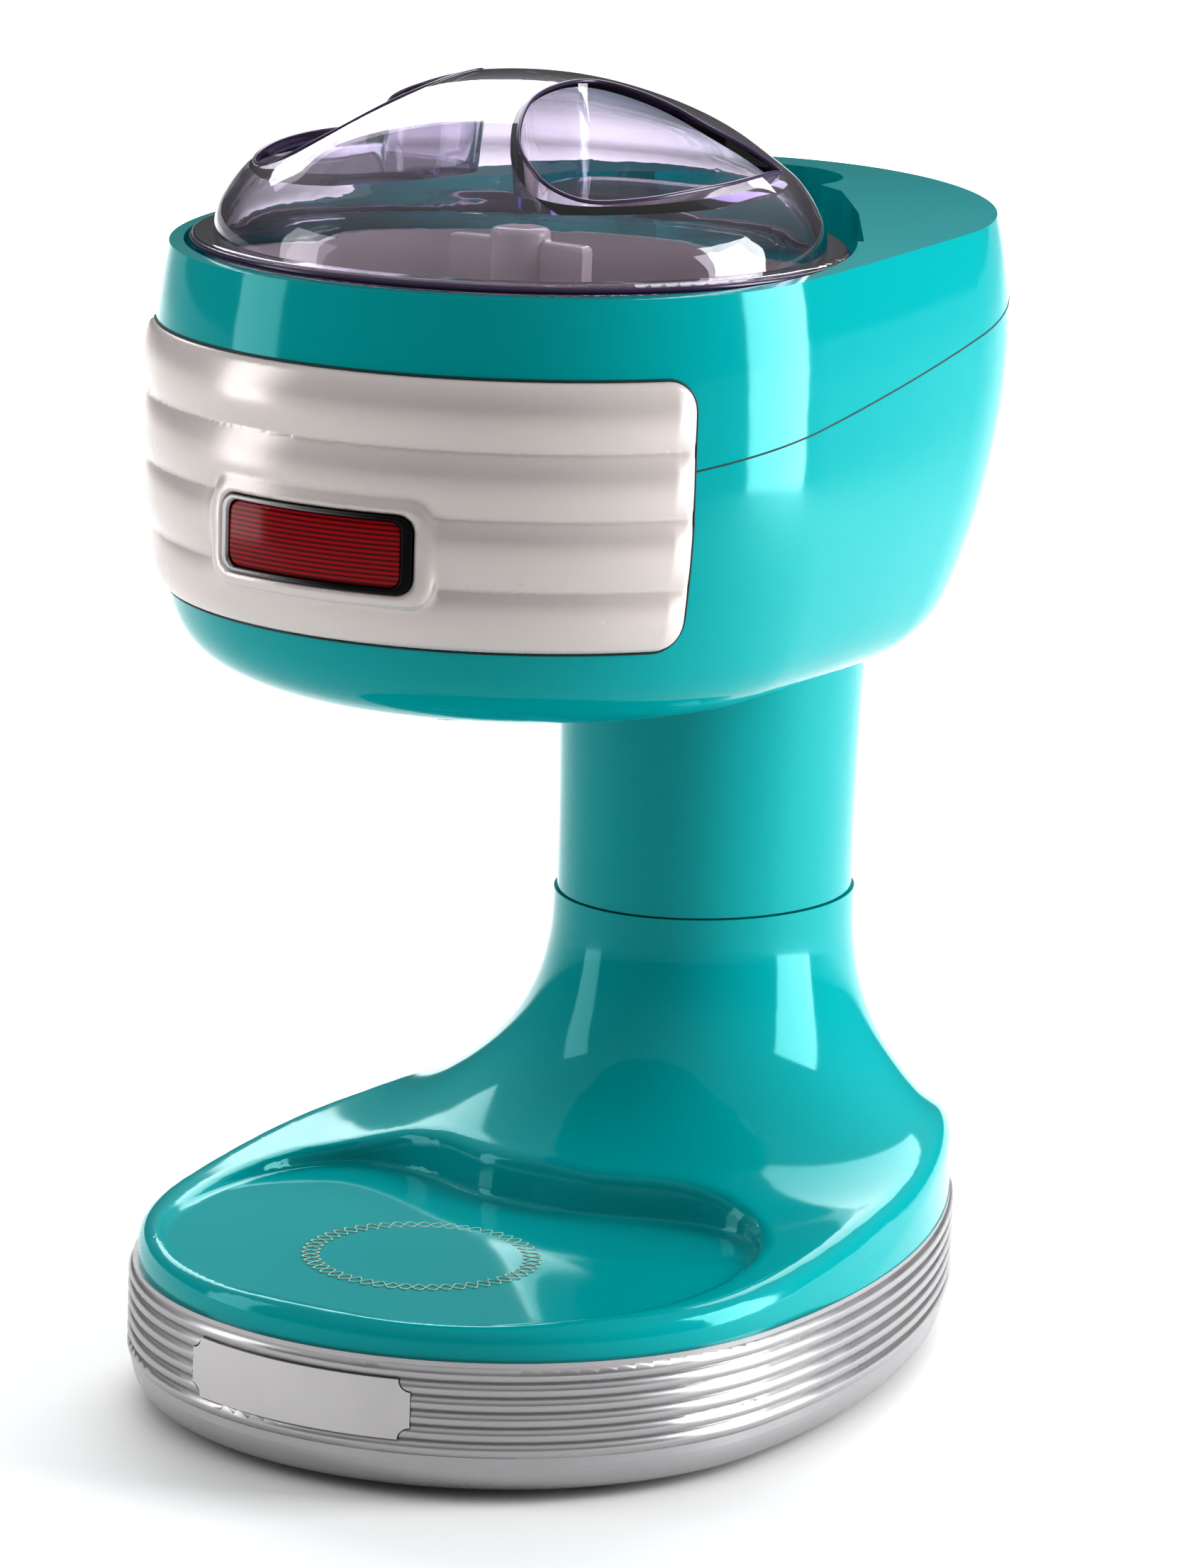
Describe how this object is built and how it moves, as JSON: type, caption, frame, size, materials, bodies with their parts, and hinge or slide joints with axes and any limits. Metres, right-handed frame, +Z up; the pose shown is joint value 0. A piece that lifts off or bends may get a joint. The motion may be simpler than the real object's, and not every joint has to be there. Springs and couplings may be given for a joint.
{
  "type": "ice shaver",
  "caption": "Column-stand ice shaver for slush: a geared paddle turns ice over a blade in a lift-out bowl under a clear lid, with an outlet above a round cup tray.",
  "frame": {"origin": "middle of the part's bounding box, on the floor under the feet", "axes": "+Z up, -Y towards the front panel, X across, with the gear axes in the YZ plane"},
  "size_m": [0.191, 0.2815, 0.3525],
  "materials": {
    "teal_shell": "glossy moulded plastic",
    "silver_band": "silver paint on moulded plastic",
    "ivory_trim": "smooth moulded plastic",
    "panel": "smooth moulded plastic",
    "lid_clear": "smoky clear plastic",
    "badge_red": "clear-coated red",
    "chrome_trim": "plated trim",
    "steel_part": "bare steel",
    "gear_nylon": "moulded nylon",
    "black_plastic": "moulded plastic",
    "brass_part": "turned",
    "rubber_part": "moulded"
  },
  "bodies": {
    "stand": {"base_cover": "teal_shell", "base_band": "silver_band", "base_bottom": "silver_band", "name_plate": "silver_band", "rubber_feet": "rubber_part", "base_screws": "steel_part", "switch_body": "black_plastic", "cable_gland": "black_plastic", "column_upper": "teal_shell", "column_screws": "steel_part", "head_lower": "teal_shell", "head_upper": "teal_shell", "front_panel": "panel", "badge_frame": "chrome_trim", "badge_lens": "badge_red", "head_screws": "steel_part", "outlet_chute": "teal_shell", "safety_switch": "black_plastic", "second_gear_pin": "steel_part", "first_gear_pin": "steel_part", "drive_bush": "brass_part", "gear_plate": "steel_part", "plate_screws": "steel_part", "gear_cover": "black_plastic", "cover_screws": "steel_part", "motor_case": "steel_part", "motor_screws": "steel_part"},
    "ice_bowl_set": {"ice_bowl": "ivory_trim", "shaft_seal": "rubber_part", "blade_disc": "steel_part", "blade": "steel_part", "blade_screws": "steel_part"},
    "lid_set": {"lid": "lid_clear"},
    "paddle_set": {"paddle": "ivory_trim"},
    "drive": {"drive_shaft": "steel_part", "drive_gear": "gear_nylon"},
    "second_stage": {"second_gear": "gear_nylon"},
    "first_stage": {"first_gear": "gear_nylon"},
    "rotor": {"motor_pinion": "brass_part", "motor_shaft": "steel_part", "motor_armature": "steel_part", "cooling_fan": "black_plastic"},
    "rocker": {"power_rocker": "black_plastic"},
    "plunger": {"safety_plunger": "ivory_trim"}
  },
  "joints": [
    {"name": "drive_spin", "type": "hinge", "parent": "stand", "child": "drive", "pos_m": [0, -0.0425, 0.22], "axis": [0, 0, 1], "continuous": true},
    {"name": "second_spin", "type": "hinge", "parent": "stand", "child": "second_stage", "pos_m": [0, -0.0055, 0.22], "axis": [0, 0, 1], "continuous": true},
    {"name": "first_spin", "type": "hinge", "parent": "stand", "child": "first_stage", "pos_m": [0, 0.0315, 0.215], "axis": [0, 0, 1], "continuous": true},
    {"name": "motor_spin", "type": "hinge", "parent": "stand", "child": "rotor", "pos_m": [0, 0.068, 0.25], "axis": [0, 0, 1], "continuous": true},
    {"name": "bowl_lift", "type": "slide", "parent": "stand", "child": "ice_bowl_set", "axis": [0, 0, 1], "range_m": [0, 0.075]},
    {"name": "lid_lift", "type": "slide", "parent": "ice_bowl_set", "child": "lid_set", "axis": [0, 0, 1], "range_m": [0, 0.12]},
    {"name": "paddle_spin", "type": "hinge", "parent": "ice_bowl_set", "child": "paddle_set", "pos_m": [0, -0.0425, 0.25], "axis": [0, 0, 1], "continuous": true},
    {"name": "rocker_tilt", "type": "hinge", "parent": "stand", "child": "rocker", "pos_m": [0, 0.13895, 0.0234], "axis": [-1, 0, 0], "range_deg": [0, 16]},
    {"name": "switch_press", "type": "slide", "parent": "stand", "child": "plunger", "axis": [0, 0, 1], "range_m": [-0.0025, 0], "stiffness_N_per_m": 300, "springref_m": 0.001}
  ],
  "couplings": [
    {"joint": "second_spin", "follows": "drive_spin", "ratio": -1.0556},
    {"joint": "first_spin", "follows": "drive_spin", "ratio": 2.85},
    {"joint": "motor_spin", "follows": "drive_spin", "ratio": -8.7083},
    {"joint": "paddle_spin", "follows": "drive_spin", "ratio": 1}
  ]
}
